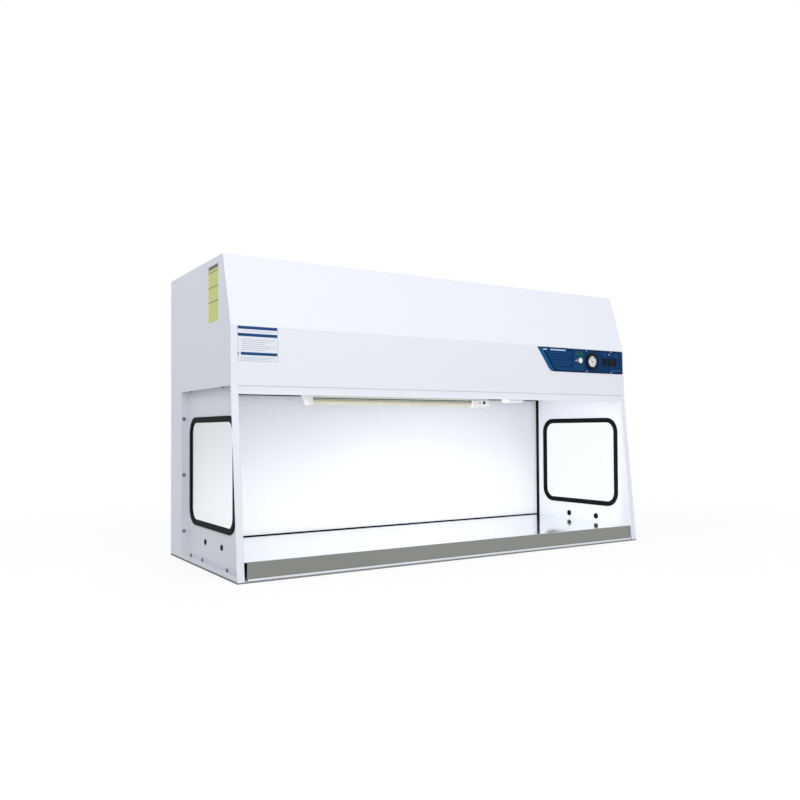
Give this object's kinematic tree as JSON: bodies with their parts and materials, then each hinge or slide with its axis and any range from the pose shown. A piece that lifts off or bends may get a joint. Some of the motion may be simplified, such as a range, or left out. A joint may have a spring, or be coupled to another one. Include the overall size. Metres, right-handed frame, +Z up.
{
  "type": "laminar flow hood",
  "caption": "Horizontal laminar flow cabinet: glazed side walls, filter wall at the back, steel work surface, and a sloped head with blowers, lamp and a control panel.",
  "frame": {"origin": "under the middle of the base, on the surface it stands on", "axes": "+X to the operator's right along the width, +Y from the operator to the rear, +Z up"},
  "size_m": [1.905, 0.77, 1.1295],
  "materials": {
    "white_powder_coat": "satin powder coat",
    "stainless": "brushed, then polished on the top",
    "zinc_plate": "plain zinc plated sheet",
    "black_rubber": "matt",
    "grey_rubber": "matt",
    "clear_pane": "clear",
    "filter_frame": "mill finish",
    "filter_paper": "matt",
    "filter_fabric": "matt",
    "bolt_steel": "zinc plated",
    "motor_paint": "black",
    "shaft_steel": "ground",
    "white_plastic": "gloss",
    "black_plastic": "gloss",
    "lamp_glass": "coated inside",
    "panel_blue": "printed film on a plate",
    "dial_white": "matt",
    "needle_red": "matt",
    "bright_metal": "polished",
    "pilot_lens": "translucent",
    "brass_pin": "bright"
  },
  "bodies": {
    "cabinet": {"base_feet": "grey_rubber", "base_tray": "white_powder_coat", "control_box": "zinc_plate", "control_panel": "panel_blue", "filter_clamps": "zinc_plate", "filter_frame": "filter_frame", "filter_guard": "white_powder_coat", "filter_pack": "filter_paper", "filter_rail": "zinc_plate", "filter_seal": "black_rubber", "frame_bolts": "bolt_steel", "gauge_case": "black_plastic", "gauge_dial": "dial_white", "gauge_lens": "clear_pane", "head_floor": "white_powder_coat", "head_front": "white_powder_coat", "head_rear": "white_powder_coat", "inlet_pins": "brass_pin", "lamp_ballast": "zinc_plate", "lamp_body": "white_powder_coat", "lamp_end_caps": "white_plastic", "lamp_sockets": "black_plastic", "lamp_tube": "lamp_glass", "lamp_wiring_cover": "white_powder_coat", "left_blower_housing": "zinc_plate", "left_blower_motor": "motor_paint", "left_head_skin": "white_powder_coat", "left_prefilter_frame": "white_powder_coat", "left_prefilter_pad": "filter_fabric", "left_side_pan": "white_powder_coat", "left_window_gasket": "black_rubber", "left_window_pane": "clear_pane", "panel_screws": "bright_metal", "pilot_lamps": "pilot_lens", "port_plugs": "black_rubber", "power_inlet": "black_plastic", "rear_bearer": "zinc_plate", "rear_casing": "white_powder_coat", "right_blower_housing": "zinc_plate", "right_blower_motor": "motor_paint", "right_head_skin": "white_powder_coat", "right_prefilter_frame": "white_powder_coat", "right_prefilter_pad": "filter_fabric", "right_side_pan": "white_powder_coat", "right_window_gasket": "black_rubber", "right_window_pane": "clear_pane", "rocker_frames": "black_plastic", "speed_control": "black_plastic", "surface_bearers": "zinc_plate", "top_panel": "white_powder_coat", "work_surface": "stainless"},
    "left_fan": {"left_impeller": "zinc_plate", "left_blower_shaft": "shaft_steel"},
    "right_fan": {"right_impeller": "zinc_plate", "right_blower_shaft": "shaft_steel"},
    "needle": {"gauge_needle": "needle_red"},
    "knob": {"speed_knob": "bright_metal"},
    "blower_switch": {"blower_rocker": "black_plastic"},
    "light_switch": {"light_rocker": "black_plastic"},
    "outlet_switch": {"outlet_rocker": "black_plastic"}
  },
  "joints": [
    {"name": "left_fan_spin", "type": "hinge", "parent": "cabinet", "child": "left_fan", "pos_m": [-0.45, 0.214, 0.9365], "axis": [1, 0, 0], "continuous": true},
    {"name": "right_fan_spin", "type": "hinge", "parent": "cabinet", "child": "right_fan", "pos_m": [0.45, 0.214, 0.9365], "axis": [1, 0, 0], "continuous": true},
    {"name": "needle_turn", "type": "hinge", "parent": "cabinet", "child": "needle", "pos_m": [0.748, -0.32319, 0.81354], "axis": [0, -0.9999, 0.0121], "range_deg": [-100, 0]},
    {"name": "knob_turn", "type": "hinge", "parent": "cabinet", "child": "knob", "pos_m": [0.667, -0.32718, 0.81459], "axis": [0, -0.9999, 0.0121], "range_deg": [-135, 135]},
    {"name": "blower_switch_tip", "type": "hinge", "parent": "cabinet", "child": "blower_switch", "pos_m": [0.8265, -0.32119, 0.81352], "axis": [1, 0, 0], "range_deg": [-14, 0]},
    {"name": "light_switch_tip", "type": "hinge", "parent": "cabinet", "child": "light_switch", "pos_m": [0.8585, -0.32119, 0.81352], "axis": [1, 0, 0], "range_deg": [-14, 0]},
    {"name": "outlet_switch_tip", "type": "hinge", "parent": "cabinet", "child": "outlet_switch", "pos_m": [0.8905, -0.32119, 0.81352], "axis": [1, 0, 0], "range_deg": [-14, 0]}
  ]
}
